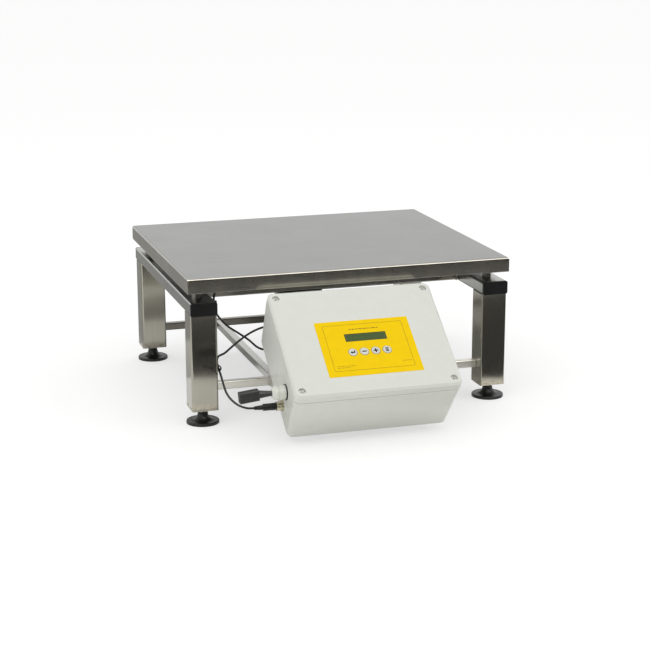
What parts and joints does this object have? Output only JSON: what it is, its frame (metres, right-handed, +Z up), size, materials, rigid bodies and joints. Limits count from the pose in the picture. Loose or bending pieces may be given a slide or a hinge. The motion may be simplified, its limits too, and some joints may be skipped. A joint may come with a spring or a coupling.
{
  "type": "animal weighing scale",
  "caption": "Low platform scale for animals: lift-off steel tray on a load cell, welded frame on levelling feet, tilted indicator box with display and keys in front.",
  "frame": {"origin": "on the floor, under the centre of the weighing tray, with the levelling feet screwed in", "axes": "+X to the right seen from the indicator side, +Y to the back, +Z up; the indicator box is at -Y"},
  "size_m": [0.503, 0.5971, 0.223],
  "materials": {
    "tray_steel": "matt brushed stainless sheet",
    "rail_steel": "brushed stainless tube",
    "leg_steel": "brushed stainless tube, ground welds",
    "bar_steel": "bright stainless tube",
    "bracket_steel": "folded stainless sheet",
    "spider_steel": "milled flat bar",
    "cell_aluminium": "anodised block",
    "fastener_steel": "stainless fastener",
    "cap_plastic": "moulded end cap",
    "foot_plastic": "moulded pad",
    "spindle_steel": "blackened steel",
    "buffer_rubber": "soft rubber",
    "box_plastic": "fine-textured light grey moulding",
    "gasket_rubber": "closed-cell strip",
    "overlay_film": "printed polyester film",
    "window_plastic": "dark green window",
    "key_plastic": "pale key caps",
    "board_laminate": "green circuit board",
    "battery_plastic": "battery case",
    "gland_plastic": "grey cable gland",
    "seal_rubber": "black sealing ring",
    "connector_plastic": "black moulded connector",
    "socket_metal": "nickel-plated brass",
    "cable_sheath": "black flexible sheath"
  },
  "bodies": {
    "frame": {"cell_base": "spider_steel", "cell_bolts": "fastener_steel", "overload_stops": "fastener_steel", "bracket_screws": "fastener_steel", "lid_screws": "fastener_steel", "board_screws": "fastener_steel", "battery_strap": "fastener_steel", "lock_nuts": "fastener_steel", "load_cell": "cell_aluminium", "beam_front": "rail_steel", "beam_rear": "rail_steel", "rail_left": "rail_steel", "rail_right": "rail_steel", "rail_caps": "cap_plastic", "cable_clips": "cap_plastic", "leg_front_left": "leg_steel", "leg_front_right": "leg_steel", "leg_rear_left": "leg_steel", "leg_rear_right": "leg_steel", "leg_bushes": "leg_steel", "crossbar_front": "bar_steel", "crossbar_rear": "bar_steel", "stretcher_left": "bar_steel", "stretcher_right": "bar_steel", "bracket_left": "bracket_steel", "bracket_right": "bracket_steel", "box_base": "box_plastic", "box_lid": "box_plastic", "box_gasket": "gasket_rubber", "overlay": "overlay_film", "display_window": "window_plastic", "display_board": "board_laminate", "main_board": "board_laminate", "battery": "battery_plastic", "supply_gland": "gland_plastic", "gland_seal": "seal_rubber", "supply_connector": "connector_plastic", "sensor_plug": "connector_plastic", "plug_relief": "connector_plastic", "sensor_socket": "socket_metal", "cell_cable": "cable_sheath"},
    "platform": {"spider_bar": "spider_steel", "spider_arm_left": "spider_steel", "spider_arm_right": "spider_steel", "spider_spacer": "spider_steel", "spider_bolts": "fastener_steel", "tray_buffers": "buffer_rubber"},
    "tray": {"tray": "tray_steel"},
    "key_enter": {"key_enter": "key_plastic"},
    "key_minus": {"key_minus": "key_plastic"},
    "key_plus": {"key_plus": "key_plastic"},
    "key_menu": {"key_menu": "key_plastic"},
    "foot_pad_front_left": {"foot_pad_front_left": "foot_plastic"},
    "foot_spindle_front_left": {"foot_spindle_front_left": "spindle_steel"},
    "foot_pad_front_right": {"foot_pad_front_right": "foot_plastic"},
    "foot_spindle_front_right": {"foot_spindle_front_right": "spindle_steel"},
    "foot_pad_rear_left": {"foot_pad_rear_left": "foot_plastic"},
    "foot_spindle_rear_left": {"foot_spindle_rear_left": "spindle_steel"},
    "foot_pad_rear_right": {"foot_pad_rear_right": "foot_plastic"},
    "foot_spindle_rear_right": {"foot_spindle_rear_right": "spindle_steel"}
  },
  "joints": [
    {"name": "load_deflection", "type": "slide", "parent": "frame", "child": "platform", "axis": [0, 0, 1], "range_m": [-0.0005, 0], "stiffness_N_per_m": 2500000, "deforming": ["load_cell"]},
    {"name": "tray_lift", "type": "slide", "parent": "platform", "child": "tray", "axis": [0, 0, 1], "range_m": [0, 0.06]},
    {"name": "key_enter_press", "type": "slide", "parent": "frame", "child": "key_enter", "axis": [0, 0.6018, -0.7986], "range_m": [0, 0.0005], "stiffness_N_per_m": 6000},
    {"name": "key_minus_press", "type": "slide", "parent": "frame", "child": "key_minus", "axis": [0, 0.6018, -0.7986], "range_m": [0, 0.0005], "stiffness_N_per_m": 6000},
    {"name": "key_plus_press", "type": "slide", "parent": "frame", "child": "key_plus", "axis": [0, 0.6018, -0.7986], "range_m": [0, 0.0005], "stiffness_N_per_m": 6000},
    {"name": "key_menu_press", "type": "slide", "parent": "frame", "child": "key_menu", "axis": [0, 0.6018, -0.7986], "range_m": [0, 0.0005], "stiffness_N_per_m": 6000},
    {"name": "foot_front_left_extend", "type": "slide", "parent": "frame", "child": "foot_pad_front_left", "axis": [0, 0, 1], "range_m": [-0.012, 0]},
    {"name": "foot_front_left_screw", "type": "hinge", "parent": "foot_pad_front_left", "child": "foot_spindle_front_left", "pos_m": [-0.227, -0.19, 0.0082], "axis": [0, 0, 1], "range_deg": [-2880, 0]},
    {"name": "foot_front_right_extend", "type": "slide", "parent": "frame", "child": "foot_pad_front_right", "axis": [0, 0, 1], "range_m": [-0.012, 0]},
    {"name": "foot_front_right_screw", "type": "hinge", "parent": "foot_pad_front_right", "child": "foot_spindle_front_right", "pos_m": [0.227, -0.19, 0.0082], "axis": [0, 0, 1], "range_deg": [-2880, 0]},
    {"name": "foot_rear_left_extend", "type": "slide", "parent": "frame", "child": "foot_pad_rear_left", "axis": [0, 0, 1], "range_m": [-0.012, 0]},
    {"name": "foot_rear_left_screw", "type": "hinge", "parent": "foot_pad_rear_left", "child": "foot_spindle_rear_left", "pos_m": [-0.227, 0.18, 0.0082], "axis": [0, 0, 1], "range_deg": [-2880, 0]},
    {"name": "foot_rear_right_extend", "type": "slide", "parent": "frame", "child": "foot_pad_rear_right", "axis": [0, 0, 1], "range_m": [-0.012, 0]},
    {"name": "foot_rear_right_screw", "type": "hinge", "parent": "foot_pad_rear_right", "child": "foot_spindle_rear_right", "pos_m": [0.227, 0.18, 0.0082], "axis": [0, 0, 1], "range_deg": [-2880, 0]}
  ],
  "couplings": [
    {"joint": "foot_front_left_screw", "follows": "foot_front_left_extend", "rad_per_m": 4188.8},
    {"joint": "foot_front_right_screw", "follows": "foot_front_right_extend", "rad_per_m": 4188.8},
    {"joint": "foot_rear_left_screw", "follows": "foot_rear_left_extend", "rad_per_m": 4188.8},
    {"joint": "foot_rear_right_screw", "follows": "foot_rear_right_extend", "rad_per_m": 4188.8}
  ]
}
